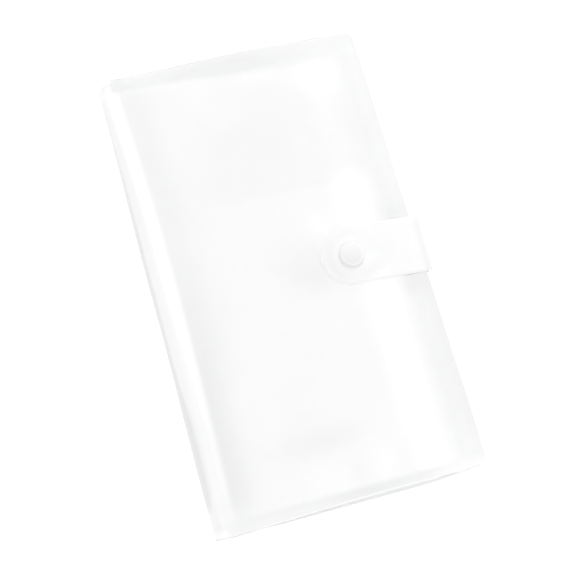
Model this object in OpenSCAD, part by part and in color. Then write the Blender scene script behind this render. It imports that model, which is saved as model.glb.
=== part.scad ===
// Business card book: a frosted polypropylene cover that folds round a
// flexible spine, two welded packs of three-tier card leaves, and a strap
// that wraps the fore edge and snaps on to the front cover.
// The book lies closed on its back cover: X runs from the spine to the
// fore edge, Y from the foot to the head, Z upwards.

/* [Cover] */
// Height of the covers, foot to head
cover_h = 195; // [190:1:200]
// Width of each cover, crease to fore edge
cover_w = 109; // [107:1:114]
// Thickness of the cover sheet
sheet_t = 0.8; // [0.7:0.05:0.9]
// Corner radius of the covers at the fore edge
cover_r = 4; // [2:0.5:6]
// Thickness of the closed book, outside to outside
book_t = 11.3; // [11.3:0.1:12]

/* [Spine] */
// Width of each slanting spine panel
spine_flap = 7.2; // [6.8:0.1:7.6]
// Slant of those panels from the plane of the cover, degrees
spine_slant = 30; // [29:1:31]
// How far the spine stops short of the covers at each end
spine_short = 2; // [1:0.5:4]
// Clearance between a panel and the bead it folds on
crease_gap = 0.15; // [0.1:0.05:0.2]

/* [Leaves] */
// Height of a leaf
leaf_h = 183; // [178:1:184]
// Distance from the crease to the free edge of a leaf
leaf_w = 98; // [97:0.5:99]
// Shift of the leaves towards the foot
leaf_drop = 1.5; // [0:0.5:2]
// Spacing of neighbouring leaves
leaf_pitch = 0.8; // [0.8:0.01:0.82]
// Height of the first leaf above the table
leaf_z = 1.9; // [1.9:0.05:2]
// Film thickness
film_t = 0.12; // [0.1:0.01:0.13]
// Thickness of a welded seam between two films
seam_t = 0.2; // [0.18:0.01:0.22]
// Width of a welded seam
seam_w = 2; // [1.5:0.5:2.5]
// Distance from one card tier to the next
tier_pitch = 57.5; // [56:0.5:58]
// Height of the pocket film of one tier
pocket_h = 55.5; // [53:0.5:55.5]

/* [Strap] */
// Width of the strap
strap_w = 25; // [20:1:30]
// Distance from the crease to the folds of the strap
strap_fold = 112.5; // [110.5:0.5:116]
// Distance from the crease to the snap
snap_x = 78; // [70:1:84]
// Slant of the strap about the snap, towards the foot, degrees
strap_slant = 3.3; // [0:0.1:4]
// Distance of the centre of the round tip from the snap
tip_offset = 0.9; // [0:0.1:2]
// Diameter of the snap cap
cap_d = 11; // [10:0.5:13]
// Height of the snap cap
cap_h = 2; // [1.6:0.1:2.4]

/* [Hidden] */
$fn = 64;
frost = "WhiteSmoke";
film_c = "Azure";
white = "White";

half_t = sheet_t / 2;
fold_gap = half_t + crease_gap;
rise = spine_flap * sin(spine_slant);
run = spine_flap * cos(spine_slant);
back_panel = book_t - sheet_t - 2 * rise;
// Outermost point of the slanting strap, from the crease
strap_end = snap_x + (strap_fold + half_t - snap_x) * cos(strap_slant)
    + strap_w / 2 * sin(strap_slant);
// Middle of the box round the closed book, from the crease
mid_x = (strap_end - run - half_t) / 2;

// Crease lines as [x, z], counted from the back cover to the front cover
crease_a = [0, half_t];
crease_b = [-run, half_t + rise];
crease_c = [-run, half_t + rise + back_panel];
crease_d = [0, book_t - half_t];

// Inner face of the lower spine panel at a distance x from the crease
function flap_inner(x) =
    half_t + half_t / cos(spine_slant) - x * tan(spine_slant);

// Leaves: hinge line, bead, and the clear space in a pocket
leaf_axis = -0.6;
bead_r = 0.2;
bar_face = leaf_axis - bead_r - 0.1;
bar_back = -4.6;
bar_top = leaf_z + 4 * leaf_pitch + 0.4;
film_gap = 0.05;
pocket_x = 2;
leaf_top = leaf_h / 2;
leaf_r = 3;

// Snap stack, upwards from the outer face of the front cover
stud_t = 0.9;
snap_play = 0.15;
socket_t = 1.4;
hole_r = 1.4;
post_r = 1.3;
socket_z = book_t + stud_t + snap_play;
arm_z = socket_z + socket_t;
arm_mid = arm_z + half_t;
cap_z = arm_z + sheet_t;
tip_r = strap_w / 2;

// From the crease frame to the frame of the part
module placed() { translate([-mid_x, 0, 0]) children(); }

// A bar along Y with the given X-Z outline as its section
module along_y(length) {
    rotate([90, 0, 0]) linear_extrude(length, center = true) children();
}

// Outline of a sheet from x0 to x1 with round corners at x1
module sheet_outline(x0, x1, h, r) {
    translate([x0, -h / 2]) square([x1 - r - x0, h]);
    translate([x1 - r - 0.01, -h / 2 + r]) square([r + 0.01, h - 2 * r]);
    for (s = [-1, 1]) translate([x1 - r, s * (h / 2 - r)]) circle(r);
}

// A panel from a fold: straight at its start, with a round bead on the
// next crease line at its end
module panel(length, width) {
    along_y(width) {
        translate([fold_gap, -half_t]) square([length - fold_gap, sheet_t]);
        translate([length, 0]) circle(half_t);
    }
}

module panel_at(crease, angle, length, width) {
    translate([crease[0], 0, crease[1]]) rotate([0, -angle, 0])
        panel(length, width);
}

// ---- cover ----
module back_cover() {
    color(frost) placed() {
        linear_extrude(sheet_t) sheet_outline(0, cover_w, cover_h, cover_r);
        translate([0, 0, half_t]) along_y(cover_h) circle(half_t);
        // tongue that carries the strap past the fore edge
        on_strap() {
            translate([cover_w - 6, -strap_w / 2, 0])
                cube([strap_fold - cover_w + 6, strap_w, sheet_t]);
            translate([strap_fold, 0, half_t]) along_y(strap_w) circle(half_t);
        }
    }
}

module spine_lower() {
    color(frost) placed()
        panel_at(crease_a, 180 - spine_slant, spine_flap, cover_h - 2 * spine_short);
}

module spine_back() {
    color(frost) placed()
        panel_at(crease_b, 90, back_panel, cover_h - 2 * spine_short);
}

module spine_upper() {
    color(frost) placed()
        panel_at(crease_c, spine_slant, spine_flap, cover_h - 2 * spine_short);
}

module front_cover() {
    color(frost) placed() translate([0, 0, book_t - sheet_t])
        linear_extrude(sheet_t) difference() {
            sheet_outline(fold_gap, cover_w, cover_h, cover_r);
            translate([snap_x, 0]) circle(hole_r);
        }
}

// ---- binding ----
// Fused inner edges of five leaves, welded to a slanting spine panel
module binding_bar() {
    translate([0, -leaf_drop, 0]) along_y(leaf_h) polygon([
        [bar_face, flap_inner(bar_face)], [bar_face, bar_top],
        [bar_back, bar_top], [bar_back, flap_inner(bar_back)]
    ]);
}

module lower_binding_bar() { color(white) placed() binding_bar(); }
module upper_binding_bar() {
    color(white) placed() translate([0, 0, book_t]) mirror([0, 0, 1]) binding_bar();
}

// ---- leaves ----
// Leaves 1 to 5 lie on the back cover; 6 to 10 are their mirror image
module half_of(i) {
    placed() translate([0, -leaf_drop, 0]) {
        if (i <= 5) translate([0, 0, leaf_z + (i - 1) * leaf_pitch]) children();
        else translate([0, 0, book_t]) mirror([0, 0, 1])
            translate([0, 0, leaf_z + (10 - i) * leaf_pitch]) children();
    }
}

// Back film of a leaf, and the bead of its bound edge on the hinge line
module leaf_sheet(i) {
    color(film_c) half_of(i) {
        translate([0, 0, -film_t / 2]) linear_extrude(film_t)
            sheet_outline(leaf_axis + bead_r + 0.1, leaf_w, leaf_h, leaf_r);
        translate([leaf_axis, 0, 0]) along_y(leaf_h) circle(bead_r);
    }
}

// Three pocket films, open along their head edges, and the welded seams
// that hold them off the back film
module leaf_pockets(i) {
    seam_z = film_t / 2;
    film_z = seam_z + seam_t + film_gap;
    foot = leaf_top - 2 * tier_pitch - pocket_h;
    color(film_c) half_of(i) {
        for (x = [pocket_x, leaf_w - seam_w - 0.4])
            translate([x, foot, seam_z]) cube([seam_w, leaf_top - foot - leaf_r, seam_t]);
        for (k = [0:2]) {
            y = leaf_top - k * tier_pitch - pocket_h;
            translate([pocket_x + seam_w + film_gap, y, seam_z])
                cube([leaf_w - 0.4 - 2 * seam_w - pocket_x - 2 * film_gap, seam_w, seam_t]);
            translate([pocket_x, y, film_z])
                cube([leaf_w - 0.4 - pocket_x, pocket_h - (k == 0 ? 1.5 : 0), film_t]);
        }
    }
}

module leaf_01_sheet() { leaf_sheet(1); }
module leaf_01_pockets() { leaf_pockets(1); }
module leaf_02_sheet() { leaf_sheet(2); }
module leaf_02_pockets() { leaf_pockets(2); }
module leaf_03_sheet() { leaf_sheet(3); }
module leaf_03_pockets() { leaf_pockets(3); }
module leaf_04_sheet() { leaf_sheet(4); }
module leaf_04_pockets() { leaf_pockets(4); }
module leaf_05_sheet() { leaf_sheet(5); }
module leaf_05_pockets() { leaf_pockets(5); }
module leaf_06_sheet() { leaf_sheet(6); }
module leaf_06_pockets() { leaf_pockets(6); }
module leaf_07_sheet() { leaf_sheet(7); }
module leaf_07_pockets() { leaf_pockets(7); }
module leaf_08_sheet() { leaf_sheet(8); }
module leaf_08_pockets() { leaf_pockets(8); }
module leaf_09_sheet() { leaf_sheet(9); }
module leaf_09_pockets() { leaf_pockets(9); }
module leaf_10_sheet() { leaf_sheet(10); }
module leaf_10_pockets() { leaf_pockets(10); }

// ---- strap ----
// The strap turned about the snap by its slant
module on_strap() {
    translate([snap_x, 0, 0]) rotate([0, 0, -strap_slant])
        translate([-snap_x, 0, 0]) children();
}

module strap_side() {
    color(frost) placed() on_strap()
        panel_at([strap_fold, half_t], 90, arm_mid - half_t, strap_w);
}

module strap_arm() {
    tip_x = snap_x - tip_offset;
    color(frost) placed() on_strap() translate([0, 0, arm_z]) linear_extrude(sheet_t)
        difference() {
            union() {
                translate([tip_x, -strap_w / 2])
                    square([strap_fold - fold_gap - tip_x, strap_w]);
                translate([tip_x, 0]) circle(tip_r);
            }
            translate([snap_x, 0]) circle(hole_r);
        }
}

// ---- snap ----
module on_snap(z) { placed() translate([snap_x, 0, z]) children(); }

// Domed cap on the strap, with its post and the swaged end of the post
module snap_cap() {
    dome_rise = cap_h / 2;
    dome_r = (pow(cap_d / 2, 2) + pow(dome_rise, 2)) / (2 * dome_rise);
    color(white) on_snap(cap_z) {
        intersection() {
            cylinder(h = cap_h, d = cap_d);
            translate([0, 0, cap_h - dome_r]) sphere(dome_r);
        }
        translate([0, 0, -sheet_t - 0.3]) cylinder(h = sheet_t + 0.4, r = post_r);
        translate([0, 0, -sheet_t - 0.4]) cylinder(h = 0.35, r = 2);
    }
}

// Socket ring under the strap
module snap_socket() {
    color(white) on_snap(socket_z) difference() {
        cylinder(h = socket_t, r = 4.8);
        translate([0, 0, -1]) cylinder(h = socket_t + 2, r = 2.15);
    }
}

// Stud on the front cover, with a blind hole for the post of its cap
module snap_stud() {
    color(white) on_snap(book_t) difference() {
        union() {
            cylinder(h = stud_t, r = 4.8);
            cylinder(h = stud_t + 0.9, r = 1.9);
        }
        translate([0, 0, -1]) cylinder(h = 2.2, r = hole_r);
    }
}

// Flat head inside the front cover; its post goes up into the stud
module snap_stud_cap() {
    color(white) on_snap(book_t - sheet_t - 0.8) {
        cylinder(h = 0.8, r = 5.2);
        cylinder(h = 0.8 + sheet_t + 1, r = post_r);
    }
}

back_cover();
spine_lower();
spine_back();
spine_upper();
front_cover();
lower_binding_bar();
upper_binding_bar();
strap_side();
strap_arm();
snap_cap();
snap_socket();
snap_stud();
snap_stud_cap();
leaf_01_sheet();
leaf_01_pockets();
leaf_02_sheet();
leaf_02_pockets();
leaf_03_sheet();
leaf_03_pockets();
leaf_04_sheet();
leaf_04_pockets();
leaf_05_sheet();
leaf_05_pockets();
leaf_06_sheet();
leaf_06_pockets();
leaf_07_sheet();
leaf_07_pockets();
leaf_08_sheet();
leaf_08_pockets();
leaf_09_sheet();
leaf_09_pockets();
leaf_10_sheet();
leaf_10_pockets();
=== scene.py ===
import math

import bpy
import numpy as np
from mathutils import Matrix, Vector


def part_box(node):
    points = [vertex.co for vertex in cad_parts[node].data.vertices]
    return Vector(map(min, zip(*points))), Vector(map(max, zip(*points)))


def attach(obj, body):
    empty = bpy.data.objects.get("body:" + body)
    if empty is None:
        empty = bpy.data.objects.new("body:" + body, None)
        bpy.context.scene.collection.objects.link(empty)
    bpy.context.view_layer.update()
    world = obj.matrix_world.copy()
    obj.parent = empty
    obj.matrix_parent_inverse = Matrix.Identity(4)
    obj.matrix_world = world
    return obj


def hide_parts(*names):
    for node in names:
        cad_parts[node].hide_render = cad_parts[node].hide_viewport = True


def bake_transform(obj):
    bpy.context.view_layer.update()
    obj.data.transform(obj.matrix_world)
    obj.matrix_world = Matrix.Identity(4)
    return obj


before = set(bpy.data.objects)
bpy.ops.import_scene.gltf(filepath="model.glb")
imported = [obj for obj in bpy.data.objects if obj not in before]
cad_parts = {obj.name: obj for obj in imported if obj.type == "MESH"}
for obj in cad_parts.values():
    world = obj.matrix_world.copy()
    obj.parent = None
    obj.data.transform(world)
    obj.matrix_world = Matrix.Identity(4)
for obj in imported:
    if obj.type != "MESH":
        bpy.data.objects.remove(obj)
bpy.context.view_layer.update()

scene = bpy.context.scene

# All shapes below are worked out in millimetres: u from the crease of the
# covers towards the fore edge, y from foot to head, z above the table.
MM = 0.001
MID = 0.55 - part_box("front_cover")[0].x / MM
SHEET = 0.8
TOP = 10.9            # middle of the front cover's sheet
LOW = 0.4             # middle of the back cover's sheet
HALF_H = 97.5
COVER_W = 109.0
CORNER = 4.0
SEAM_F = 7.0          # where the front cover meets the rolled spine
SEAM_B = 3.0          # where the back cover meets it
LEAF_W = 98.0
LEAF_HEAD, LEAF_FOOT = 90.0, -93.0
LEAN = 0.024          # the leaves hang this much towards the foot per mm
SNAP_U = 78.0
SLANT = math.radians(3.3)


def smooth(x):
    x = np.clip(x, 0.0, 1.0)
    return x * x * (3 - 2 * x)


def ramp(x, w):
    """0 below -w, 1 above +w."""
    return smooth((np.asarray(x, float) + w) / (2 * w))


def spot(u, y, cu, cy, ru, ry):
    return np.exp(-(((u - cu) / ru) ** 2) - ((y - cy) / ry) ** 2)


def to_row(p):
    """Points in mm from the crease to metres in the row frame."""
    q = np.array(p, float)
    q[..., 0] -= MID
    return q * MM


def point(u, y, z):
    return tuple(float(c) for c in to_row([u, y, z]))


def unit(a):
    return a / np.maximum(np.linalg.norm(a, axis=-1, keepdims=True), 1e-12)


# ------------------------------------------------------------------ meshes
def build(name, verts, faces, mats, face_mats, normals=None, values=None, sharp=None):
    mesh = bpy.data.meshes.new(name)
    mesh.from_pydata([tuple(v) for v in to_row(np.array(verts, float))], [], faces)
    for m in mats:
        mesh.materials.append(m)
    mesh.polygons.foreach_set("material_index", np.array(face_mats, np.int32))
    mesh.polygons.foreach_set("use_smooth", np.ones(len(faces), bool))
    for key, data in (values or {}).items():
        mesh.attributes.new(key, "FLOAT", "POINT").data.foreach_set(
            "value", np.array(data, np.float32)
        )
    mesh.update()
    if normals is not None:
        mesh.normals_split_custom_set_from_vertices([tuple(n) for n in normals])
    elif sharp is not None:
        mesh.set_sharp_from_angle(angle=math.radians(sharp))
    o = bpy.data.objects.new(name, mesh)
    scene.collection.objects.link(o)
    return o


def grid_normals(p):
    return unit(np.cross(np.gradient(p, axis=0), np.gradient(p, axis=1)))


def rim_chains(m, n, cut):
    sides = {
        "j0": [(i, 0) for i in range(m)],
        "i1": [(m - 1, j) for j in range(n)],
        "j1": [(i, n - 1) for i in range(m - 1, -1, -1)],
        "i0": [(0, j) for j in range(n - 1, -1, -1)],
    }
    order = ["j0", "i1", "j1", "i0"]
    if all(s in cut for s in order):
        loop = []
        for s in order:
            loop += sides[s][:-1]
        return [(loop, True)]
    start = next(k for k in range(4) if order[k] not in cut)
    chains, now = [], []
    for k in range(1, 5):
        s = order[(start + k) % 4]
        if s in cut:
            now = now[:-1] + sides[s] if now else list(sides[s])
        elif now:
            chains.append((now, False))
            now = []
    if now:
        chains.append((now, False))
    return chains


def sheet_data(p, t, cut, n=None, bevel=0.14):
    """A sheet of thickness t about the surface p, with rounded cut edges on the sides named in cut and open ones where it runs on into its neighbour."""
    m, k, _ = p.shape
    n = grid_normals(p) if n is None else n
    t = np.broadcast_to(np.asarray(t, float), (m, k))
    chains = rim_chains(m, k, cut)
    inset, found = np.zeros_like(p), []
    for chain, closed in chains:
        a = np.array(chain)
        q, nn = p[a[:, 0], a[:, 1]], n[a[:, 0], a[:, 1]]
        run = np.roll(q, -1, 0) - np.roll(q, 1, 0) if closed else np.gradient(q, axis=0)
        d = unit(np.cross(nn, run))
        inset[a[:, 0], a[:, 1]] = d * bevel
        found.append((a, q, nn, d, closed, t[a[:, 0], a[:, 1]][:, None]))
    size = m * k
    upper, lower = p + n * t[..., None] / 2, p - n * t[..., None] / 2
    verts = [(upper + inset).reshape(-1, 3), (lower + inset).reshape(-1, 3)]
    if np.ptp(t) > 0:
        norms = [grid_normals(upper).reshape(-1, 3), -grid_normals(lower).reshape(-1, 3)]
    else:
        norms = [n.reshape(-1, 3), -n.reshape(-1, 3)]
    source = [np.arange(size), np.arange(size)]
    faces, kinds = [], []
    for i in range(m - 1):
        for j in range(k - 1):
            a, b, c, d = i * k + j, (i + 1) * k + j, (i + 1) * k + j + 1, i * k + j + 1
            faces += [(a, b, c, d), (size + a, size + d, size + c, size + b)]
            kinds += [0, 0]
    at = 2 * size
    s = 1 - math.sqrt(0.5)
    for a, q, nn, d, closed, tt in found:
        flat = a[:, 0] * k + a[:, 1]
        count = len(flat)
        loops = [flat]
        for off, way, nrm in (
            (tt / 2 - s * bevel, s * bevel, nn - 0.4 * d),
            (tt / 2 - bevel, 0.0, 0.6 * nn - 0.8 * d),
            (-tt / 2 + bevel, 0.0, -d),
            (-tt / 2 + s * bevel, s * bevel, -nn - d),
        ):
            verts.append(q + nn * off + d * way)
            norms.append(unit(nrm))
            source.append(flat)
            loops.append(np.arange(at, at + count))
            at += count
        loops.append(size + flat)
        for upper, lower in zip(loops, loops[1:]):
            for i in range(count if closed else count - 1):
                j = (i + 1) % count
                faces.append(
                    (int(upper[i]), int(lower[i]), int(lower[j]), int(upper[j]))
                )
                kinds.append(1)
    return (
        np.concatenate(verts),
        faces,
        kinds,
        np.concatenate(norms),
        np.concatenate(source),
    )


def sheet_piece(name, p, t, cut, mats, n=None, white=None, bevel=0.14, under=0.0):
    verts, faces, kinds, norms, source = sheet_data(p, t, cut, n, bevel)
    values = {}
    if white is not None:
        values["white"] = white.reshape(-1)[source]
        # under lowers the tone of the lower face: painted shade
        values["white"][white.size : 2 * white.size] -= np.broadcast_to(under, white.shape).reshape(-1)
    return build(name, verts, faces, mats, kinds, norms, values)


def joined(name, parts, mats):
    """Several sheets as one piece."""
    verts, faces, kinds, norms, at = [], [], [], [], 0
    for v, f, k, nn, _ in parts:
        verts.append(v)
        norms.append(nn)
        faces += [tuple(x + at for x in face) for face in f]
        kinds += k
        at += len(v)
    return build(name, np.concatenate(verts), faces, mats, kinds, np.concatenate(norms))


def lathe(name, profile, centre, mats, around=72, sharp=38, white=None, lean=(0.0, 0.0)):
    """A turned piece: profile is (radius, z) from its top middle outwards and down."""
    verts, faces, rings = [], [], []
    for r, z in profile:
        if r < 1e-6:
            rings.append([len(verts)])
            verts.append((centre[0], centre[1], z))
        else:
            ring = []
            for k in range(around):
                a = 2 * math.pi * k / around
                ring.append(len(verts))
                verts.append((centre[0] + r * math.cos(a), centre[1] + r * math.sin(a), z))
            rings.append(ring)
    closed = len(rings[0]) > 1
    pairs = list(zip(rings, rings[1:])) + ([(rings[-1], rings[0])] if closed else [])
    for a, b in pairs:
        for k in range(around):
            j = (k + 1) % around
            if len(a) == 1:
                face = (a[0], b[k], b[j])
            elif len(b) == 1:
                face = (a[k], b[0], a[j])
            else:
                face = (a[k], b[k], b[j], a[j])
            faces.append(face)
    values = None
    if white is not None:
        values = {"white": [
            w + lean[0] * (verts[v][0] - centre[0]) + lean[1] * (verts[v][1] - centre[1])
            for w, ring in zip(white, rings) for v in ring
        ]}
    return build(name, verts, faces, mats, [0] * len(faces), values=values, sharp=sharp)


# --------------------------------------------------------------- materials
def tree(name):
    m = bpy.data.materials.new(name)
    m.use_nodes = True
    nt = m.node_tree
    return m, nt, nt.nodes["Principled BSDF"]


def noise(nt, scale, detail=3.0, rough=0.55, distort=0.0, at=None):
    coords = nt.nodes.get("coords")
    if coords is None:
        coords = nt.nodes.new("ShaderNodeTexCoord")
        coords.name = "coords"
    t = nt.nodes.new("ShaderNodeTexNoise")
    t.inputs["Scale"].default_value = scale
    t.inputs["Detail"].default_value = detail
    t.inputs["Roughness"].default_value = rough
    t.inputs["Distortion"].default_value = distort
    nt.links.new(at or coords.outputs["Object"], t.inputs["Vector"])
    return t.outputs["Fac"]


def remap(nt, value, lo, hi, a=0.0, b=1.0):
    r = nt.nodes.new("ShaderNodeMapRange")
    for key, x in zip(("From Min", "From Max", "To Min", "To Max"), (a, b, lo, hi)):
        r.inputs[key].default_value = x
    nt.links.new(value, r.inputs["Value"])
    return r.outputs["Result"]


def plus(nt, a, b, how="ADD"):
    m = nt.nodes.new("ShaderNodeMath")
    m.operation = how
    for k, x in enumerate((a, b)):
        if isinstance(x, (int, float)):
            m.inputs[k].default_value = x
        else:
            nt.links.new(x, m.inputs[k])
    return m.outputs[0]


def shade(nt, value, dark, light):
    r = nt.nodes.new("ShaderNodeValToRGB")
    r.color_ramp.interpolation = "LINEAR"
    r.color_ramp.elements[0].color = (*dark, 1)
    r.color_ramp.elements[1].color = (*light, 1)
    nt.links.new(value, r.inputs["Fac"])
    return r.outputs["Color"]


def bumps(nt, bsdf, *layers):
    """Bump layers: (height, strength, distance)."""
    last = None
    for height, strength, distance in layers:
        b = nt.nodes.new("ShaderNodeBump")
        b.inputs["Strength"].default_value = strength
        b.inputs["Distance"].default_value = distance
        nt.links.new(height, b.inputs["Height"])
        if last is not None:
            nt.links.new(last, b.inputs["Normal"])
        last = b.outputs["Normal"]
    nt.links.new(last, bsdf.inputs["Normal"])


def frosted(name, dark, light, alpha, rough=(0.36, 0.46), patches=True, grain=0.10, even=0.62, glow=0.0):
    """Frosted polypropylene sheet: a fine matt grain, faint clouds, and a tone from the vertex attribute, which makes
    it paler where it lies close on what is behind it and also carries painted light and shade.
    """
    m, nt, b = tree(name)
    clouds = remap(nt, noise(nt, 38, 2.0), -0.03, 0.03, 0.3, 0.7)
    flow = remap(nt, noise(nt, 260, 3.0, 0.6), -0.014, 0.014, 0.3, 0.7)
    value = plus(nt, clouds, flow)
    if patches:
        a = nt.nodes.new("ShaderNodeAttribute")
        a.attribute_name = "white"
        value = plus(nt, a.outputs["Fac"], value)
    else:
        value = plus(nt, value, even)
    nt.links.new(shade(nt, value, dark, light), b.inputs["Base Color"])
    nt.links.new(remap(nt, noise(nt, 140, 3.0), *rough, 0.3, 0.7), b.inputs["Roughness"])
    bumps(
        nt, b,
        (noise(nt, 2600, 2.0), grain, 0.00012),
        (noise(nt, 700, 2.0), grain * 0.6, 0.0003),
    )
    b.inputs["Alpha"].default_value = alpha
    b.inputs["IOR"].default_value = 1.49
    # painted light: the sheet is given a glow though it is no lamp
    if glow:                     # light let through by the thin sheet
        b.inputs["Emission Color"].default_value = (1, 1, 1, 1)
        b.inputs["Emission Strength"].default_value = glow
    return m


def cut_edge(name):
    """The whitened edge where the sheet was cut, made paler still as a painted highlight along the edge."""
    m, nt, b = tree(name)
    nt.links.new(
        shade(nt, noise(nt, 420, 3.0), (0.90, 0.905, 0.905), (0.985, 0.985, 0.985)),
        b.inputs["Base Color"],
    )
    nt.links.new(remap(nt, noise(nt, 900, 2.0), 0.42, 0.6), b.inputs["Roughness"])
    bumps(nt, b, (noise(nt, 3000, 2.0), 0.12, 0.0001))
    return m


def clear_film(name, alpha, rough=(0.30, 0.42)):
    m, nt, b = tree(name)
    nt.links.new(
        shade(nt, noise(nt, 60, 3.0), (0.905, 0.922, 0.928), (0.96, 0.97, 0.973)),
        b.inputs["Base Color"],
    )
    nt.links.new(remap(nt, noise(nt, 90, 3.0), *rough, 0.3, 0.7), b.inputs["Roughness"])
    bumps(nt, b, (noise(nt, 45, 1.0), 0.10, 0.0006))
    b.inputs["Alpha"].default_value = alpha
    b.inputs["IOR"].default_value = 1.49
    b.inputs["Specular IOR Level"].default_value = 0.7
    return m


def weld(name):
    """Heat-sealed film: pressed ribs, whiter than the film beside it."""
    m, nt, b = tree(name)
    nt.links.new(
        shade(nt, noise(nt, 500, 3.0), (0.86, 0.87, 0.875), (0.965, 0.97, 0.97)),
        b.inputs["Base Color"],
    )
    nt.links.new(remap(nt, noise(nt, 300, 3.0), 0.3, 0.5), b.inputs["Roughness"])
    bumps(nt, b, (noise(nt, 2200, 2.0), 0.15, 0.0001))
    b.inputs["Alpha"].default_value = 0.62
    return m


def fused(name):
    """Leaf edges fused into one milky bar: fine lines along it and cloudy patches."""
    m, nt, b = tree(name)
    w = nt.nodes.new("ShaderNodeTexWave")
    w.wave_type = "BANDS"
    w.bands_direction = "Z"
    w.inputs["Scale"].default_value = 420
    w.inputs["Distortion"].default_value = 2.5
    w.inputs["Detail"].default_value = 2.0
    value = plus(nt, remap(nt, w.outputs["Fac"], 0.0, 0.4), remap(nt, noise(nt, 180), 0.1, 0.6))
    nt.links.new(nt.nodes["coords"].outputs["Object"], w.inputs["Vector"])
    nt.links.new(shade(nt, value, (0.82, 0.83, 0.835), (0.965, 0.97, 0.97)), b.inputs["Base Color"])
    nt.links.new(remap(nt, noise(nt, 260), 0.4, 0.6), b.inputs["Roughness"])
    bumps(nt, b, (w.outputs["Fac"], 0.2, 0.0002), (noise(nt, 1500), 0.1, 0.0001))
    return m


def moulded(name, dark, light, patches=False):
    """White moulded plastic with a satin skin; with patches its tone follows the vertex attribute, which carries
    painted highlight and shade.
    """
    m, nt, b = tree(name)
    value = noise(nt, 220, 3.0)
    if patches:
        a = nt.nodes.new("ShaderNodeAttribute")
        a.attribute_name = "white"
        value = plus(nt, a.outputs["Fac"], remap(nt, value, -0.03, 0.03, 0.3, 0.7))
    nt.links.new(shade(nt, value, dark, light), b.inputs["Base Color"])
    nt.links.new(remap(nt, noise(nt, 160, 2.0), 0.30, 0.36, 0.3, 0.7), b.inputs["Roughness"])
    bumps(nt, b, (noise(nt, 1900, 2.0), 0.02, 0.0001))
    b.inputs["IOR"].default_value = 1.5
    return m


FROST = frosted("cover_frost", (0.70, 0.704, 0.704), (0.985, 0.987, 0.987), 0.86)
# the back cover's sheet is given a glow: painted light
FROST_PLAIN = frosted("cover_frost_even", (0.70, 0.704, 0.704), (0.985, 0.987, 0.987), 0.86, patches=False, even=0.72, glow=0.12)
STRAP_FROST = frosted("strap_frost", (0.74, 0.743, 0.743), (0.988, 0.99, 0.99), 0.88)
EDGE = cut_edge("cut_edge_white")
FILM = clear_film("pocket_film", 0.30)
WELD = weld("weld_white")
FUSED = fused("fused_bar")
SNAP = moulded("snap_white", (0.80, 0.80, 0.798), (0.88, 0.88, 0.877))
SNAP_CAP = moulded("snap_cap_white", (0.73, 0.73, 0.728), (0.975, 0.975, 0.973), patches=True)


# ------------------------------------------------------------- cover sheet
def page_head(u):
    return LEAF_HEAD - LEAN * (u - LEAF_W / 2)


def page_foot(u):
    return LEAF_FOOT - LEAN * (u - LEAF_W / 2)


def groove_at(y):
    """Where the rolled spine ends and the cover dips."""
    return 2.9 - 0.00024 * (y - 10) ** 2 - 0.8 * smooth((40 - y) / 130)


def drop_at(y):
    """Where the pale crest of the spine gives way to the dip."""
    return 1.6 - 0.0005 * np.maximum(y - 20, 0) ** 2 - 0.00017 * np.minimum(y - 20, 0) ** 2


def front_rise(u, y):
    """How far the front cover stands above a flat sheet: it lies on the leaves, drops past their edges, dips beside the spine and bows up at the head."""
    h = -0.62 * ramp(y - page_head(u) - 0.6, 2.3)
    h -= 0.50 * ramp(page_foot(u) - 0.4 - y, 1.9)
    h -= 0.70 * ramp(u - 100.5 - 0.012 * y, 4.0)
    h -= 0.50 * np.exp(-(((u - groove_at(y) - 4.2) / 4.6) ** 2))
    h += 1.25 * np.exp(-(((u - 47) / 40) ** 2)) * smooth((y - 52) / 46)
    h += 0.30 * np.exp(-(((u - 60) / 34) ** 2)) * smooth((-y - 66) / 32)
    h += 0.16 * np.sin(u / 15.5 + y / 34.0) * smooth((u - 12) / 18) * smooth((95 - u) / 14)
    h += 0.10 * np.sin(y / 11.5 - u / 27.0) * smooth((u - 12) / 18) * smooth((95 - u) / 14)
    # flat under the snap
    flat = spot(u, y, SNAP_U, 0, 9, 9)
    return h * (1 - flat)


def tier_line(u, middle):
    """A line across the leaves at the height middle, hanging with them."""
    return middle - LEAN * (u - LEAF_W / 2)


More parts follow.
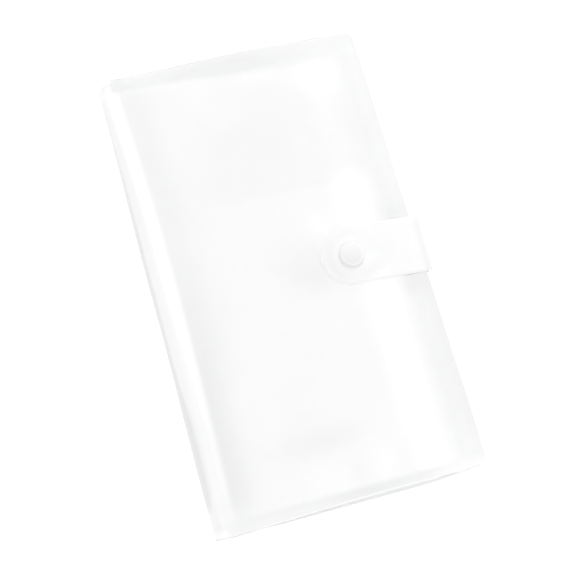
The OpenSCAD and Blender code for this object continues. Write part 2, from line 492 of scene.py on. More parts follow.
def whiteness(u, y):
    """How pale the front cover is drawn: palest where it lies flat on the leaves, greyer over the margins, with the
    tiers of pockets showing through; painted shade darkens the dip beside the spine, the head margin and the fore
    margin beside the strap, painted shadow lies left of the strap's tip, and a painted highlight pales the leaves
    towards the fore edge up to a little above the strap.
    """
    sunk = np.exp(-(((u - 58) / np.where(u < 58, 24, 50)) ** 2))
    inside = (
        ramp(page_head(u) - 0.4 - 1.3 * sunk - y, 1.1 + 1.2 * sunk)
        * ramp(y - page_foot(u) - 0.4, 1.1)
        * ramp(95.0 - u, 7.0)
    )
    page = 0.61 - 0.05 * smooth(y / 40) * smooth((78 - u) / 30)
    top_tier = ramp(y - tier_line(u, 33.6), 1.3) * smooth((u - 16) / 20) * smooth((88 - u) / 12) * (1 - 0.8 * smooth((y - 58 + 0.3 * (u - 50)) / 14) * smooth((62 - u) / 20))
    page -= 0.09 * top_tier
    page += 0.05 * spot(u, y, 42, 78, 16, 12)
    page += 0.07 * spot(u, y, 72, -72, 12, 14)
    page -= 0.06 * spot(u, y, 55, 5, 14, 14)
    # painted shade: the dip beside the spine is drawn darker
    past = np.maximum(u - drop_at(y) - 3.3, 0) / (7.5 + 5 * smooth((y + 60) / 70))
    page -= (0.16 + 0.25 * smooth((40 - y) / 80) * (1 - smooth((-y - 80) / 12))) * np.exp(-(past**1.8))
    # painted highlight: paler towards the fore edge, up to a little above the strap
    page += 0.36 * smooth((u - 74) / 14) * ramp(35 - y, 6)
    # a pale patch above the strap's tip, and a painted shadow left of the tip
    page += 0.16 * spot(u, y, 71, 15, 6, 6) - 0.14 * spot(u, y, 63, -7, 6, 6)
    page += 0.34 * spot(u, y, 91, 82, 13, 8.5)
    page += 0.18 * spot(u, y, 62, 88, 9, 5)
    page += 0.08 * spot(u, y, 53, -86, 11, 8)
    # more painted shadow left of the strap's tip
    page -= 0.12 * spot(u, y, 57, -1, 10, 9)
    page -= 0.16 * spot(u, y, 45, -71, 21, 5.5)
    page += 0.08 * spot(u, y, 38, -85, 7, 7) + 0.08 * spot(u, y, 68, -86, 6, 8) - 0.17 * spot(u, y, 56, -87, 5, 7)
    # the head margin is drawn darker, partly as painted shade of the gap between the covers
    head_rim = 0.37 - np.exp(-(((u - 50) / 25) ** 2)) * (0.18 + 0.18 * smooth((97.0 - y) / 5))
    past_head = y - page_head(u)
    head_rim -= 0.24 * np.exp(-(((past_head - 2.6) / 2.0) ** 2) - ((u - 40) / 17) ** 2)
    head_rim -= 0.30 * np.exp(-(((past_head - 2.2) / 1.7) ** 2) - ((u - 2) / 7) ** 2)
    head_rim -= 0.48 * np.exp(-(((past_head - 2.2) / 2.2) ** 2) - ((u - 53.5) / 8) ** 2)
    foot_rim = 0.42 - 0.28 * np.exp(-(((u - 57) / 15) ** 2)) + 0.26 * smooth((u - 80) / 12)
    low = smooth((15 - y) / 30)
    fore_rim = 0.425 - 0.04 * smooth((u - 103) / 4) * smooth((y - 35) / 30) + 0.04 * smooth((-y - 72) / 10)
    fore_rim += low * (0.02 - 0.135 * smooth((u - 99.5) / 9.5) * (1 - 0.6 * smooth((-y - 78) / 10)))
    # painted shadows of the strap on the fore margin, above and below it
    fore_rim -= 0.11 * np.exp(-(((y - 15) / 3) ** 2))
    fore_rim -= 0.19 * np.exp(-(((y + 17.5) / 4.5) ** 2)) * smooth((u - 94) / 5)
    at_head, at_foot = ramp(y - page_head(u), 2.0), ramp(page_foot(u) - y, 2.0)
    rim = fore_rim * (1 - at_head) * (1 - at_foot) + head_rim * at_head + foot_rim * at_foot
    return page * inside + rim * (1 - inside)


def tone(w):
    """Whiteness as the place on the frosted sheet's colour ramp."""
    return (0.12 + 0.165 * np.where(w < 0, w, smooth(w))) / 0.285


def rows():
    up = np.concatenate(
        [
            np.arange(0, 82, 2.0),
            np.arange(82.4, 93.2, 0.6),
            93.5 + CORNER * np.sin(np.radians(np.arange(0, 91, 9))),
        ]
    )
    return np.concatenate([-up[:0:-1], up])


Y_ROWS = rows()
T_ROWS = Y_ROWS / HALF_H


def hermite(a, b, ta, tb, n, last=False):
    t = np.linspace(0, 1, n + 1)[: n + 1 if last else n]
    t = t[:, None, None]
    return (
        (2 * t**3 - 3 * t**2 + 1) * a
        + (t**3 - 2 * t**2 + t) * ta
        + (-2 * t**3 + 3 * t**2) * b
        + (t**3 - t**2) * tb
    )


def pairs(u, z, y):
    return np.stack([np.broadcast_to(u, y.shape), np.broadcast_to(z, y.shape)], -1).astype(float)


def spine_profile():
    """The cover's section from the back cover over the spine to the front cover, row by row: it bulges more towards the foot."""
    y = Y_ROWS
    out_u = -5.95 + 1.05 * smooth((y - 5) / 85) - 1.0 * smooth((-y - 5) / 80)
    crest_u = groove_at(y) - 3.6
    crest_z = TOP + 0.30
    mid_z = 5.75
    f0 = pairs(SEAM_F, TOP + front_rise(SEAM_F, y), y)
    slope = (front_rise(SEAM_F + 0.05, y) - front_rise(SEAM_F - 0.05, y)) / 0.1
    f1 = pairs(crest_u, crest_z, y)
    f2 = pairs(out_u, mid_z, y)
    f3 = pairs(-0.9, LOW + 0.03, y)
    f4 = pairs(SEAM_B, LOW, y)
    k = 1.657
    d0 = SEAM_F - crest_u
    back = [
        hermite(f4, f3, pairs(-3.9, 0, y), pairs(-3.9, 0.0, y), 8),
        hermite(
            f3, f2,
            pairs(-k * np.abs(out_u + 0.9), 0.0, y),
            pairs(0, k * (mid_z - LOW - 0.03), y), 24,
        ),
        hermite(
            f2, f1,
            pairs(0, k * (crest_z - mid_z), y),
            pairs(k * np.abs(out_u - crest_u), 0.0, y), 24,
        ),
        hermite(
            f1, f0,
            pairs(d0 * 1.0, 0.0, y), pairs(d0, d0 * slope, y), 22, last=True,
        ),
    ]
    return np.concatenate(back)


prof = spine_profile()
n_prof = len(prof)
FRONT_U = np.concatenate(
    [np.arange(SEAM_F + 0.8, 24, 0.8), np.arange(24, 92, 1.6), np.arange(92, 108.2, 0.7), [108.45, 108.75, 109.0]]
)


def far_edge(y):
    over = np.clip(np.abs(y) - (HALF_H - CORNER), 0, CORNER)
    reach = COVER_W + 0.2 + 0.5 * smooth((15 - y) / 45) + 0.3 * np.exp(-(((y + 72) / 13) ** 2))
    return reach - CORNER + np.sqrt(np.maximum(CORNER**2 - over**2, 0))


front = []
for u in FRONT_U:
    s = (u - SEAM_F) / (COVER_W - SEAM_F)
    uu = SEAM_F + s * (far_edge(Y_ROWS) - SEAM_F)
    front.append(np.stack([uu, TOP + front_rise(uu, Y_ROWS)], -1))
section = np.concatenate([prof, np.array(front)])      # [row, y, (u, z)]

# the spine stops short of the covers at head and foot
mid_row = section[:, len(Y_ROWS) // 2]
spine_part = np.zeros(len(section))
for i in range(n_prof):
    spine_part[i] = 1.0 if mid_row[i, 0] < 0.6 else 0.0
roll = np.clip((0.6 - mid_row[:, 0]) / 6.0, 0, 1) * spine_part
head_at = HALF_H - spine_part * (2.0 + 1.1 * roll**2)
foot_at = HALF_H - spine_part * (0.3 + 0.3 * roll**2)
# the soft book lies a little skewed: the front cover sits towards the head,
# so the back cover shows past it at the foot
cover_u = mid_row[n_prof:, 0]
foot_at[n_prof:] += 0.7 * smooth((cover_u - 60) / 40)
head_at[n_prof:] += 1.0 * smooth((cover_u - 15) / 50)
grid_y = np.where(T_ROWS[None, :] > 0, T_ROWS[None, :] * head_at[:, None], T_ROWS[None, :] * foot_at[:, None])
COVER = np.stack([section[..., 0], grid_y, section[..., 1]], -1)
COVER_N = grid_normals(COVER)
white = np.where(
    (np.arange(len(section)) >= n_prof - 1)[:, None],
    whiteness(COVER[..., 0], COVER[..., 1]),
    0.0,
)
# over the spine: a painted highlight along the roll, fading to the cover's tone at the dip, painted shade down the
# outer flank, and darker beyond the leaves at head and foot
ry, rz, ru = COVER[:n_prof, :, 1], COVER[:n_prof, :, 2], COVER[:n_prof, :, 0]
beside = ramp(page_head(0) - 0.4 - ry, 1.1) * ramp(ry - page_foot(0) - 0.4, 1.1)
crest_painted_highlight = (0.98 - 0.27 * smooth((-ry - 15) / 60) - 0.13 * smooth((-ry - 74) / 12)) * beside + (0.46 + 0.16 * smooth(ry / 40)) * (1 - beside)
start = drop_at(ry)
fade = smooth((ru - start - 0.35) / 3.3)
over = crest_painted_highlight * (1 - fade) + whiteness(ru, ry) * fade
over = over - 0.72 * np.exp(-(((ry - 94.0) / 2.0) ** 2)) * smooth((ru + 1.5) / 1.4) * (1 - smooth((ru - 3) / 3))
over = over + 0.28 * smooth((-ry - 92.5) / 3) * (1 - smooth((ru + 4.0) / 3))
shaded = 0.28 + 0.72 * smooth((80 - ry) / 60)
low_end = smooth((-ry - 20) / 40)
flank_painted_shade = 0.64 - shaded * (0.80 * (1 - smooth((rz - 7.7 - 1.2 * low_end) / (1.9 + 0.6 * low_end))) + 0.26 * (1 - smooth((rz - 5.0) / 2.6)))
flank_painted_shade = flank_painted_shade + 0.40 * smooth((ru - start + 3.5 - 1.4 * smooth(-ry / 35) - 0.9 * smooth((-ry - 30) / 30)) / 1.4)
flank_painted_shade = flank_painted_shade + (0.78 - flank_painted_shade) * 0.85 * smooth((-ry - 78) / 11) + 0.30 * smooth((ry - 90) / 3)
flank_painted_shade = flank_painted_shade + 0.2 * smooth((-ry - 92.5) / 3)
white[:n_prof] = np.where(ru < start + 0.6, np.minimum(over, flank_painted_shade), over)
# painted highlight: the cut edges along the foot and the head are drawn paler, as where they catch the light
foot_gap = COVER[..., 1] + foot_at[:, None]
white = np.maximum(white, (1 - smooth((foot_gap - 0.5) / 0.5)) * (0.58 + 0.42 * smooth((COVER[..., 0] - 8) / 8)))
head_gap = head_at[:, None] - COVER[..., 1]
white = white + 0.24 * (1 - smooth((head_gap - 0.3) / 0.9)) * smooth((COVER[..., 0] - 4) / 6)
white = tone(white)


def cover_part(name, i0, i1, cut):
    return sheet_piece(
        name, COVER[i0 : i1 + 1], SHEET, cut, [FROST, EDGE], COVER_N[i0 : i1 + 1], white[i0 : i1 + 1]
    )


I_A, I_B, I_C, I_D, I_E = 0, 8 + 13, 8 + 24, 8 + 24 + 11, n_prof - 1
front_cover = cover_part("front_cover_sheet", I_E, len(section) - 1, {"j0", "j1", "i1"})
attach(front_cover, "front_cover")
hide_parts("front_cover")

fold_names = [
    ("back_crease_sheet", I_A, I_B, "back_cover", "spine_lower", ()),
    ("lower_spine_sheet", I_B, I_C, "spine_lower", "spine_back", ("spine_lower", "spine_back")),
    ("upper_spine_sheet", I_C, I_D, "spine_back", "spine_upper", ("spine_upper",)),
    ("front_crease_sheet", I_D, I_E, "spine_upper", "front_cover", ()),
]
for name, a, b, one, two, nodes in fold_names:
    o = cover_part(name, a, b, {"j0", "j1"})
    middle = len(Y_ROWS) // 2
    pa, pb = COVER[a, middle], COVER[b, middle]
    start, end = pa + (pb - pa) * 0.08, pa + (pb - pa) * 0.92
    if name == "front_crease_sheet":
        end = pa + (pb - pa) * 0.62
    if name == "back_crease_sheet":
        start = pa + (pb - pa) * 0.25
    point(*start)
    point(*end)
    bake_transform(o)
    if nodes:
        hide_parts(*nodes)


# -------------------------------------------------------------- strap frame
def strap_point(s, w, z):
    """s along the strap from the snap, w across it towards the head."""
    c, d = math.cos(SLANT), math.sin(SLANT)
    s, w = np.asarray(s, float), np.asarray(w, float)
    return np.stack(np.broadcast_arrays(SNAP_U + s * c + w * d, -s * d + w * c, np.asarray(z, float)), -1)


STRAP_R = 12.4
TIP_S = -0.2
FOLD_S = 34.5
ARM_Z = 14.15
FOLD_TOP = 11.1
BULGE = 0.5             # how far the fold stands out past the fold line
SLIT_S = 28.6


# back cover: a flat sheet whose tongue runs on into the strap
def back_cover_mesh():
    half = STRAP_R + 0.35
    low = strap_point(np.array([SLIT_S, 40.0]), -half, LOW)
    high = strap_point(np.array([SLIT_S, 40.0]), half, LOW)

    def on_edge(pair):
        t = (COVER_W - pair[0, 0]) / (pair[1, 0] - pair[0, 0])
        return pair[0] + (pair[1] - pair[0]) * t

    lo_in, hi_in = strap_point(SLIT_S, -STRAP_R, LOW), strap_point(SLIT_S, STRAP_R, LOW)
    lo_out, hi_out = on_edge(low), on_edge(high)
    pts, kinds = [], []          # kind True: the edge from here on is a cut edge

    def add(u, y, cut=True):
        pts.append((u, y))
        kinds.append(cut)

    for u in np.linspace(SEAM_B, COVER_W - CORNER, 40)[:-1]:
        add(u, -HALF_H)
    for a in np.radians(np.arange(-90, 1, 9)):
        add(COVER_W - CORNER + CORNER * math.cos(a), -HALF_H + CORNER + CORNER * math.sin(a))
    for y in np.linspace(-HALF_H + CORNER, lo_out[1] - 0.8, 30)[1:]:
        add(COVER_W, y)
    # little round relief at the root of the slit
    add(COVER_W - 0.15, lo_out[1] - 0.25)
    add(*low[0][:2] + np.array([0.3, 0.0]))
    for a in np.radians(np.arange(250, 100, -25)):
        c = low[0][:2] + np.array([0.0, 0.0])
        add(c[0] + 0.45 * math.cos(a) - 0.1, c[1] + 0.45 * math.sin(a) - 0.35)
    add(lo_in[0], lo_in[1], False)
    add(hi_in[0], hi_in[1])
    for a in np.radians(np.arange(250, 100, -25)):
        c = high[0][:2]
        add(c[0] + 0.45 * math.cos(a) - 0.1, c[1] + 0.45 * math.sin(a) + 0.35)
    add(*high[0][:2] + np.array([0.3, 0.0]))
    add(COVER_W - 0.15, hi_out[1] + 0.25)
    for y in np.linspace(hi_out[1] + 0.8, HALF_H - CORNER, 30)[:-1]:
        add(COVER_W, y)
    for a in np.radians(np.arange(0, 91, 9)):
        add(COVER_W - CORNER + CORNER * math.cos(a), HALF_H - CORNER + CORNER * math.sin(a))
    for u in np.linspace(COVER_W - CORNER, SEAM_B, 40)[1:]:
        add(u, HALF_H)
    kinds[-1] = False            # the side that runs on into the spine
    pts = np.array(pts, float)
    # it shows past the front cover at the foot, most before the fore corner
    u, y = pts[:, 0].copy(), pts[:, 1].copy()
    shown = 0.35 * smooth((u - 8) / 15) + 0.022 * (u - SEAM_B) * (1 - 0.45 * smooth((u - 82) / 24))
    skew = np.where(y < 0, shown, 0.004 * (u - SEAM_B))
    pts[:, 1] -= skew * smooth((np.abs(y) - 22) / 45)
    return pts, kinds


def plate(name, pts, kinds, z, t, mats, bevel=0.14):
    """A flat sheet with the outline pts; edges not marked in kinds are open."""
    n = len(pts)
    before, after = np.roll(pts, 1, 0), np.roll(pts, -1, 0)
    run = unit(after - before)
    for i in range(n):
        if not kinds[i]:
            run[i] = unit(pts[i] - before[i])
        if not kinds[i - 1]:
            run[i] = unit(after[i] - pts[i])
    d = np.stack([-run[:, 1], run[:, 0]], -1)
    s = 1 - math.sqrt(0.5)
    loops, norms, verts = [], [], []
    for off, way, up in (
        (t / 2, bevel, 1.0),
        (t / 2 - s * bevel, s * bevel, 0.7071),
        (t / 2 - bevel, 0.0, 0.0),
        (-t / 2 + bevel, 0.0, 0.0),
        (-t / 2 + s * bevel, s * bevel, -0.7071),
        (-t / 2, bevel, -1.0),
    ):
        q = pts + d * way
        loops.append(np.arange(len(verts) * n, (len(verts) + 1) * n))
        verts.append(np.column_stack([q, np.full(n, z + off)]))
        side = math.sqrt(max(0.0, 1 - up * up))
        norms.append(np.column_stack([-d * side, np.full(n, up)]))
    faces = [tuple(int(x) for x in loops[0]), tuple(int(x) for x in loops[-1][::-1])]
    kind = [0, 0]
    for upper, lower in zip(loops, loops[1:]):
        for i in range(n):
            if kinds[i]:
                j = (i + 1) % n
                faces.append((int(upper[i]), int(lower[i]), int(lower[j]), int(upper[j])))
                kind.append(1)
    return build(name, np.concatenate(verts), faces, mats, kind, np.concatenate(norms))


outline, edge_kinds = back_cover_mesh()
back_cover = plate("back_cover_sheet", outline, edge_kinds, LOW, SHEET, [FROST_PLAIN, EDGE])
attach(back_cover, "back_cover")
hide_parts("back_cover")


# -------------------------------------------------------------------- strap
def strap_section():
    """(s, z, half width) along the strap, from its tip over the fore edge to the back cover."""
    out = []
    for a in np.radians(np.concatenate([[1.5], np.arange(6, 90, 6)])):
        out.append((TIP_S - STRAP_R * math.cos(a), ARM_Z, STRAP_R * math.sin(a)))
    for s in np.arange(TIP_S, 29.9, 1.25):
        out.append((s, ARM_Z, STRAP_R))
    a, b = np.array([30.2, FOLD_TOP]), np.array([FOLD_S + BULGE, 8.4])
    ta, tb = np.array([7.4, 0.0]), np.array([0.0, -4.6])
    for t in np.linspace(0, 1, 25):
        p = (2*t**3-3*t**2+1)*a + (t**3-2*t**2+t)*ta + (-2*t**3+3*t**2)*b + (t**3-t**2)*tb
        out.append((p[0], p[1], STRAP_R))
    for z in np.linspace(b[1], 2.9, 14)[1:-1]:
        out.append((FOLD_S + BULGE * float(smooth((z - 5.6) / (b[1] - 5.6))), z, STRAP_R))
    a, b = np.array([FOLD_S, 2.9]), np.array([FOLD_S - 2.6, LOW])
    ta, tb = np.array([0.0, -4.1]), np.array([-4.1, 0.0])
    for t in np.linspace(0, 1, 13):
        p = (2*t**3-3*t**2+1)*a + (t**3-2*t**2+t)*ta + (-2*t**3+3*t**2)*b + (t**3-t**2)*tb
        out.append((p[0], p[1], STRAP_R))
    for s in (FOLD_S - 3.5, SLIT_S + 1.0, SLIT_S):
        out.append((s, LOW, STRAP_R))
    return np.array(out)


sec = strap_section()
ACROSS = np.concatenate([[-1, -0.985, -0.965, -0.94, -0.905], np.linspace(-0.84, 0.84, 15), [0.905, 0.94, 0.965, 0.985, 1]])
STRAP_W = sec[:, 2][:, None] * ACROSS[None, :]
# the strap is held up by the snap, lies on the cover all round it and spans
# the fore margin to its fold
reach = np.sqrt((sec[:, 0] * np.where(sec[:, 0] > 0, 0.6, 1.0))[:, None] ** 2 + STRAP_W**2)
flat_strap = strap_point(sec[:, 0][:, None], STRAP_W + 0.6, 0.0)
rest_z = TOP + SHEET + front_rise(np.minimum(flat_strap[..., 0], 97.5), flat_strap[..., 1]) + 0.03
hang = smooth((reach - 5.8) / 6.3)
arm_z = ARM_Z * (1 - hang) + rest_z * hang
away = smooth((sec[:, 0] - 22.8) / 5.4)[:, None]
arm_z = arm_z * (1 - away) + FOLD_TOP * away
on_arm = (sec[:, 1] > 13)[:, None]
aside = 0.6 * smooth((sec[:, 1] - 2.9) / 5.1)[:, None]      # the arm lies a little towards the head
# the fold isn't quite square: the loop is longer towards the foot
loop = 0.6 * smooth(-STRAP_W / STRAP_R) * (smooth((sec[:, 0] - 29) / 6) * smooth((sec[:, 1] - 5.0) / 3.6))[:, None]
nip = 0.55 * smooth((-STRAP_W / STRAP_R - 0.5) / 0.5) * (smooth((sec[:, 1] - 2.4) / 2.4) * (1 - smooth((sec[:, 1] - 6.8) / 1.6)))[:, None]
STRAP = strap_point(sec[:, 0][:, None] + loop, STRAP_W + aside + nip, np.where(on_arm, arm_z, sec[:, 1][:, None]))
STRAP_N = grid_normals(STRAP)
# its edges are pressed thin and carry a painted highlight; painted shade makes it greyer where it turns down
from_edge = np.where(
    (sec[:, 0] < TIP_S)[:, None],
    STRAP_R - np.sqrt((sec[:, 0][:, None] - TIP_S) ** 2 + STRAP_W**2),
    STRAP_R - np.abs(STRAP_W),
)
strap_t = SHEET - 0.67 * (1 - smooth((from_edge + 0.1) / 1.1))
STRAP = STRAP - STRAP_N * ((SHEET - strap_t) / 2)[..., None]
strap_white = 0.77 + 0.22 * (1 - smooth((from_edge - 0.25) / 0.75))
turn = np.exp(-(((sec[:, 0] - FOLD_S + 1.5) / 1.9) ** 2)) * (sec[:, 1] > 8)
# paler just before the fold
flat_end = smooth((sec[:, 0] - 20) / 6) * (1 - smooth((sec[:, 0] - 31) / 2)) * (sec[:, 1] > 8)
side_s, side_w = sec[:, 0][:, None] + 0 * STRAP_W, STRAP_W
strap_white = strap_white - 0.15 * turn[:, None] + 0.06 * flat_end[:, None]
# painted shade on the strap left of the snap cap
strap_white = strap_white - 0.03 * spot(side_s, side_w, -9.0, -1.5, 4.5, 7.0) * (1 - smooth((1.0 - from_edge) / 0.8))
# painted light lifting the shade of the strap's slope on the foot side around the snap
strap_white = strap_white + 0.10 * smooth((2.0 - side_w) / 5) * smooth((side_s + 6) / 5) * (1 - smooth((side_s - 13) / 6))
i_arm = int(np.argmin(np.abs(sec[:, 0] - 24.0) + 100 * (sec[:, 1] < 13)))
i_side = int(np.argmin(np.abs(sec[:, 1] - 7.0)))
last = len(sec) - 1


def strap_part(name, i0, i1, cut):
    rows_ = slice(i0, i1 + 1)
    # the strap's lower face is drawn darker by under: painted shade
    return sheet_piece(
        name, STRAP[rows_], strap_t[rows_], cut, [STRAP_FROST, EDGE], STRAP_N[rows_], strap_white[rows_], bevel=0.05,
        under=0.30,
    )


strap_arm = strap_part("strap_arm_sheet", 0, i_arm, {"i0", "j0", "j1"})
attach(strap_arm, "strap_arm")
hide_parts("strap_arm")
strap_upper = strap_part("strap_upper_fold_sheet", i_arm, i_side, {"j0", "j1"})
tuple(to_row(strap_point(29.0, 0, FOLD_TOP)))
tuple(to_row(strap_point(FOLD_S, 0, 6.5)))
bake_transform(strap_upper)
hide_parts("strap_side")
strap_lower = strap_part("strap_lower_fold_sheet", i_side, last, {"j0", "j1"})
tuple(to_row(strap_point(FOLD_S, 0, 5.0)))
tuple(to_row(strap_point(FOLD_S - 3.4, 0, 0.6)))
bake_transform(strap_lower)


# --------------------------------------------------------------------- snap
def arc_points(cr, cz, r, a0, a1, n):
    return [(cr + r * math.cos(math.radians(a)), cz + r * math.sin(math.radians(a))) for a in np.linspace(a0, a1, n)]


ON = (SNAP_U, 0.0)
ARM_TOP = ARM_Z + SHEET / 2
dome = [(r, ARM_TOP + 2.0 - 0.32 * (r / 3.9) ** 2) for r in np.linspace(0, 3.9, 11)]
lip = [(4.05, ARM_TOP + 1.66), (4.2, ARM_TOP + 1.67), (4.36, ARM_TOP + 1.72)] + arc_points(4.62, ARM_TOP + 0.98, 0.80, 100, 0, 12)
under_lip = [(5.45, ARM_TOP + 0.6), (5.45, ARM_TOP + 0.24), (5.3, ARM_TOP + 0.08), (4.9, ARM_TOP + 0.02), (0.0, ARM_TOP + 0.02)]
# the cap's tone is painted light: a pale lip as a painted highlight, the skirt under it drawn pale against its shade,
# and lean makes the whole cap lighter towards the head and fore edge, as if lit from there
cap_white = [0.22] * (len(dome) - 1) + [0.25, 0.29, 0.33] + [0.36] * (len(lip) - 5) + [0.48, 0.7, 0.9] + [1.03] * len(under_lip)
snap_cap = lathe("snap_cap_button", dome + lip + under_lip, ON, [SNAP_CAP], white=cap_white, lean=(0.020, 0.036))
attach(snap_cap, "strap_arm")
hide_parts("snap_cap")

z0, z1 = 12.36, ARM_Z - SHEET / 2 - 0.01
socket_profile = (
    arc_points(4.45, z1 - 0.3, 0.3, 90, 0, 5)
    + [(4.8, z1 - 0.5)]
    + arc_points(4.55, z0 + 0.3, 0.3, 0, -90, 5)
    + arc_points(3.9, z0 + 0.0, 0.0, 0, 0, 1)
    + [(3.6, z0 + 0.22), (3.1, z0 + 0.22), (2.85, z0)]
    + arc_points(2.5, z0 + 0.25, 0.25, -90, -180, 4)
    + [(2.15, z0 + 0.6), (2.3, z0 + 0.9), (2.25, z1)]
)
snap_socket = lathe("snap_socket_ring", socket_profile, ON, [SNAP])
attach(snap_socket, "strap_arm")
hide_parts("snap_socket")

base = TOP + SHEET / 2
stud_profile = (
    [(0.0, base + 1.75)]
    + [(r, base + 1.75 - 0.03 * (r / 1.3) ** 2) for r in np.linspace(0.35, 1.3, 5)]
    + arc_points(1.42, base + 1.28, 0.45, 75, -30, 8)
    + [(1.72, base + 0.95), (1.8, base + 0.82), (2.1, base + 0.72), (3.6, base + 0.62)]
    + arc_points(4.45, base + 0.28, 0.32, 80, 0, 6)
    + [(4.78, base + 0.02), (0.0, base + 0.02)]
)
snap_stud = lathe("snap_stud_button", stud_profile, ON, [SNAP])
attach(snap_stud, "front_cover")
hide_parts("snap_stud")

under = TOP - SHEET / 2
head_profile = (
    [(0.0, under - 0.02), (4.9, under - 0.02)]
    + arc_points(4.9, under - 0.3, 0.28, 80, -60, 7)
    + [(4.6, under - 0.62), (3.2, under - 0.74), (1.6, under - 0.78), (1.3, under - 0.7), (0.9, under - 0.66), (0.0, under - 0.66)]
)
snap_head = lathe("snap_stud_head", head_profile, ON, [SNAP])
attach(snap_head, "front_cover")
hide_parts("snap_stud_cap")


# ------------------------------------------------------------- binding bars
def bar(name, body, node, upper):
    """Five leaf edges fused into a bar, ridged along its two free faces."""
    face, backside, top = -0.93, -4.25, 5.45
    low_f, low_b = 1.55, 3.30
    ring = [(face, low_f)]
    for z in np.arange(1.9, 5.3, 0.8):
        ring += [(face, z - 0.28), (face + 0.07, z - 0.16), (face + 0.09, z), (face + 0.07, z + 0.16), (face, z + 0.28)]
    ring += arc_points(face - 0.3, top - 0.3, 0.3, 0, 90, 5)
    for u in np.linspace(face - 0.7, backside + 0.5, 9):
        ring += [(u, top - (0.06 if len(ring) % 2 else 0.0))]
    ring += arc_points(backside + 0.3, top - 0.3, 0.3, 90, 180, 5)
    ring += [(backside, low_b + 0.3), (backside + 0.25, low_b)]
    ring = np.array(ring)
    ys = np.concatenate([[LEAF_FOOT, LEAF_FOOT + 0.15], np.arange(LEAF_FOOT + 1.5, LEAF_HEAD - 1, 1.5), [LEAF_HEAD - 0.15, LEAF_HEAD]])
    verts, faces = [], []
    centre = ring.mean(0)
    for k, y in enumerate(ys):
        shrink = 0.94 if k in (0, len(ys) - 1) else 1.0
        wave = 0.05 * math.sin(y / 2.1) + 0.03 * math.sin(y / 0.83)
        for u, z in ring:
            du, dz = (u - centre[0]) * shrink, (z - centre[1]) * shrink
            lift = wave if z > top - 0.2 else 0.0
            zz = centre[1] + dz + lift
            verts.append((centre[0] + du, y, 11.3 - zz if upper else zz))
    n = len(ring)
    for k in range(len(ys) - 1):
        for i in range(n):
            j = (i + 1) % n
            a, b, c, d = k * n + i, k * n + j, (k + 1) * n + j, (k + 1) * n + i
            faces.append((a, d, c, b) if upper else (a, b, c, d))
    ends = [tuple(range(n)), tuple((len(ys) - 1) * n + i for i in range(n))]
    faces += [ends[0] if upper else ends[0][::-1], ends[1][::-1] if upper else ends[1]]
    # outward faces
    o = build(name, verts, [f[::-1] for f in faces], [FUSED], [0] * len(faces), sharp=35)
    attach(o, body)
    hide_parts(node)
    return o


bar("lower_binding_strip", "spine_lower", "lower_binding_bar", False)
bar("upper_binding_strip", "spine_upper", "upper_binding_bar", True)


# ------------------------------------------------------------------- leaves
ROOT_U = 1.4
FILM_T, SEAM_T, GAP = 0.12, 0.2, 0.05


def leaf_wave(u, y, k):
    """Slow ripples of the film, the same in all leaves but for a little of their own; none at the bound edge."""
    lift = smooth((u - 3) / 22)
    calm = 1 - spot(u, y, SNAP_U, 0, 12, 12)
    w = 0.10 * np.sin(u / 13.0 + y / 29.0) + 0.07 * np.sin(y / 14.0 - u / 31.0)
    w = w + 0.035 * np.sin(u / 9.0 + 1.7 * k) * np.cos(y / 21.0 + 0.9 * k)
    return w * lift * calm


def leaf_points(us, ys, k, z):
    """Film surface over the columns us [m] and rows ys [n] or [m, n]."""
    u = np.asarray(us, float)
    y = np.asarray(ys, float)
    u, y = np.broadcast_arrays(u, y)
    lean = y - LEAN * (u - LEAF_W / 2) * smooth((u + 1) / 8)
    return np.stack([u, lean, z + leaf_wave(u, y, k)], -1)


def leaf_rows(lo, hi, step=6.0, fine=0.3):
    n = max(2, int(round((hi - lo - 2 * fine) / step)))
    return np.concatenate([[lo], np.linspace(lo + fine, hi - fine, n + 1), [hi]])


def corner_far(y, far, lo, hi, r):
    over = np.clip(np.maximum(y - (hi - r), (lo + r) - y), 0, r)
    return far - r + np.sqrt(np.maximum(r * r - over * over, 0))


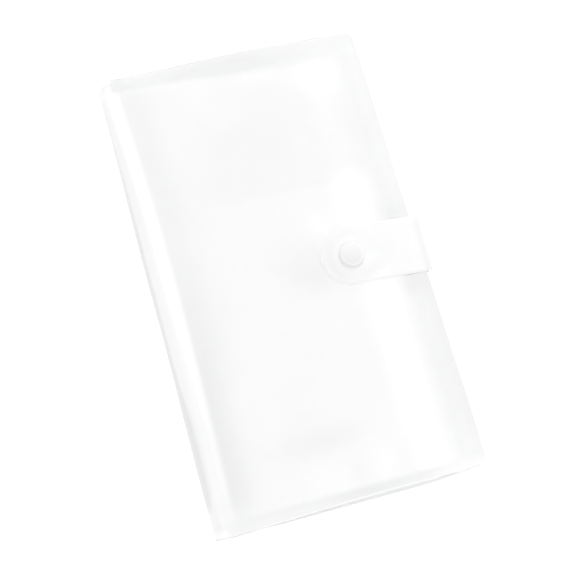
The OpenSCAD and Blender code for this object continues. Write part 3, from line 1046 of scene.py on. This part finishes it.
def leaf(k):
    number = f"leaf_{k:02d}"
    upper = k > 5
    z = 11.3 - (1.9 + 0.8 * (10 - k)) if upper else 1.9 + 0.8 * (k - 1)
    side = -1.0 if upper else 1.0
    # back film
    r = 3.0
    ys = np.concatenate(
        [
            LEAF_FOOT + r - r * np.sin(np.radians(np.arange(90, 0, -10))),
            np.linspace(LEAF_FOOT + r, LEAF_HEAD - r, 34),
            LEAF_HEAD - r + r * np.sin(np.radians(np.arange(10, 91, 10))),
        ]
    )
    cols = np.concatenate([np.linspace(0, 0.97, 34), [0.985, 0.996, 1.0]])
    far = corner_far(ys, LEAF_W, LEAF_FOOT, LEAF_HEAD, r)
    uu = ROOT_U + cols[:, None] * (far[None, :] - ROOT_U)
    p = leaf_points(uu, np.broadcast_to(ys[None, :], uu.shape), k, z)
    parts = [sheet_data(p, FILM_T, {"i1", "j0", "j1"}, bevel=0.03)]
    film = joined(number + "_film", parts, [FILM, WELD])
    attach(film, number)
    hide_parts(number + "_sheet")
    # bound edge, between the fused bar and the leaf
    ru = np.concatenate([np.linspace(-1.1, ROOT_U, 14)])
    q = leaf_points(ru[:, None], np.broadcast_to(ys[None, :], (len(ru), len(ys))), k, z)
    root = joined(number + "_root", [sheet_data(q, FILM_T, {"j0", "j1"}, bevel=0.03)], [FILM, WELD])
    point(-0.95, 0, z)
    point(0.35, 0, z)
    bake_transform(root)
    # pocket films and welded seams
    pocket_x, right = 2.0, LEAF_W - 0.4
    parts, welds = [], []
    foot = LEAF_HEAD - 2 * 57.5 - 55.5
    zf = z + side * (FILM_T / 2 + SEAM_T + GAP + FILM_T / 2)
    zs = z + side * (FILM_T / 2 + SEAM_T / 2 + 0.01)
    for tier in range(3):
        lo = LEAF_HEAD - tier * 57.5 - 55.5
        hi = lo + 55.5 - (1.5 if tier == 0 else 0.0)
        uu = leaf_rows(pocket_x, right, 3.4)
        yy = leaf_rows(lo, hi, 4.6)
        p = leaf_points(uu[:, None], yy[None, :], k, zf)
        # the open head edge stands off a little in the middle, and dips in a shallow thumb cut
        mouth = smooth((yy - (hi - 12)) / 12)[None, :] * np.exp(-(((uu - 50) / 26.0) ** 2))[:, None]
        p[..., 2] += side * 0.07 * mouth
        cutout = 3.2 * np.exp(-(((uu - 50) / 7.5) ** 4))[:, None] * smooth((yy - (hi - 16)) / 16)[None, :]
        p[..., 1] -= cutout
        parts.append(sheet_data(p if side > 0 else p[:, ::-1], FILM_T, {"i0", "i1", "j0", "j1"}, bevel=0.03))
    film = joined(number + "_pocket_films", parts, [FILM, WELD])
    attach(film, number)
    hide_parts(number + "_pockets")
    # ribbed welds
    def strip(u0, u1, y0, y1, along_u):
        if along_u:
            uu = np.concatenate([[u0], np.arange(u0 + 0.25, u1 - 0.2, 0.5), [u1]])
            yy = np.array([y0, y0 + 0.3, (y0 + y1) / 2, y1 - 0.3, y1])
        else:
            uu = np.array([u0, u0 + 0.3, (u0 + u1) / 2, u1 - 0.3, u1])
            yy = np.concatenate([[y0], np.arange(y0 + 0.25, y1 - 0.2, 0.5), [y1]])
        p = leaf_points(uu[:, None], yy[None, :], k, zs)
        t = uu[:, None] + 0 * yy[None, :] if along_u else yy[None, :] + 0 * uu[:, None]
        p[..., 2] += side * 0.025 * np.sin(t * math.pi / 0.5 * 1.0 + 0.6)
        return sheet_data(p, SEAM_T * 0.72, {"i0", "i1", "j0", "j1"}, bevel=0.03)

    for x in (pocket_x, right - 2.0):
        welds.append(strip(x, x + 2.0, foot, LEAF_HEAD - 3.0, False))
    for tier in range(3):
        y = LEAF_HEAD - tier * 57.5 - 55.5
        welds.append(strip(pocket_x + 2.05, right - 2.05, y, y + 2.0, True))
    seams = joined(number + "_welds", [w for w in welds], [WELD, WELD])
    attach(seams, number)


for k in range(1, 11):
    leaf(k)


# -------------------------------------------------------- stage and lighting
def floor():
    size, z = 1.6, -0.0002
    n = 12
    xs = np.linspace(-size, size, n + 1)
    verts = [(x, y, z) for x in xs for y in xs]
    faces = [
        (i * (n + 1) + j, (i + 1) * (n + 1) + j, (i + 1) * (n + 1) + j + 1, i * (n + 1) + j + 1)
        for i in range(n)
        for j in range(n)
    ]
    mesh = bpy.data.meshes.new("floor")
    mesh.from_pydata(verts, [], faces)
    o = bpy.data.objects.new("floor", mesh)
    scene.collection.objects.link(o)
    m, nt, b = tree("floor_paper")
    nt.links.new(shade(nt, noise(nt, 3), (0.93, 0.93, 0.93), (0.95, 0.95, 0.95)), b.inputs["Base Color"])
    b.inputs["Roughness"].default_value = 0.9
    b.inputs["Specular IOR Level"].default_value = 0.0
    b.inputs["Emission Color"].default_value = (1, 1, 1, 1)
    b.inputs["Emission Strength"].default_value = 0.25
    mesh.materials.append(m)


floor()


def softbox(name, at, aim, size, power, spread=180):
    light = bpy.data.lights.new(name, "AREA")
    light.shape = "RECTANGLE"
    light.size, light.size_y = size
    light.energy = power
    o = bpy.data.objects.new(name, light)
    scene.collection.objects.link(o)
    o.location = at
    o.rotation_euler = (Vector(aim) - Vector(at)).to_track_quat("-Z", "Y").to_euler()
    return o


softbox("key", (0.30, 0.70, 0.90), (0.0, 0.0, 0.0), (0.45, 0.45), 1.6)
softbox("overhead", (0.0, 0.0, 1.25), (0.0, 0.0, 0.0), (1.0, 1.0), 2.3)

world = bpy.data.worlds.new("white_room")
scene.world = world
world.use_nodes = True
world.node_tree.nodes["Background"].inputs["Color"].default_value = (1, 1, 1, 1)
world.node_tree.nodes["Background"].inputs["Strength"].default_value = 0.93

# ------------------------------------------------------------------- camera
R = np.array(
    [
        [0.941099, -0.27766, 0.19297],
        [-0.233507, -0.946436, -0.22301],
        [0.244555, 0.164814, -0.955526],
    ]
)
cam_data = bpy.data.cameras.new("camera")
cam = bpy.data.objects.new("camera", cam_data)
scene.collection.objects.link(cam)
cam_data.sensor_width = 36.0
cam_data.lens = 1179.0 / 573.0 * 36.0
cam_data.clip_start, cam_data.clip_end = 0.01, 20.0
eye = point(-71.379, 11.254 - 97.5, 466.764 + 11.3)
cam.matrix_world = Matrix(
    [
        (*[float(x) for x in (R[0][i], -R[1][i], -R[2][i])], eye[i])
        for i in range(3)
    ]
    + [(0, 0, 0, 1)]
)
scene.camera = cam

scene.view_settings.view_transform = "Standard"
scene.view_settings.look = "None"
scene.cycles.max_bounces = 14
scene.cycles.diffuse_bounces = 7
scene.cycles.transparent_max_bounces = 32
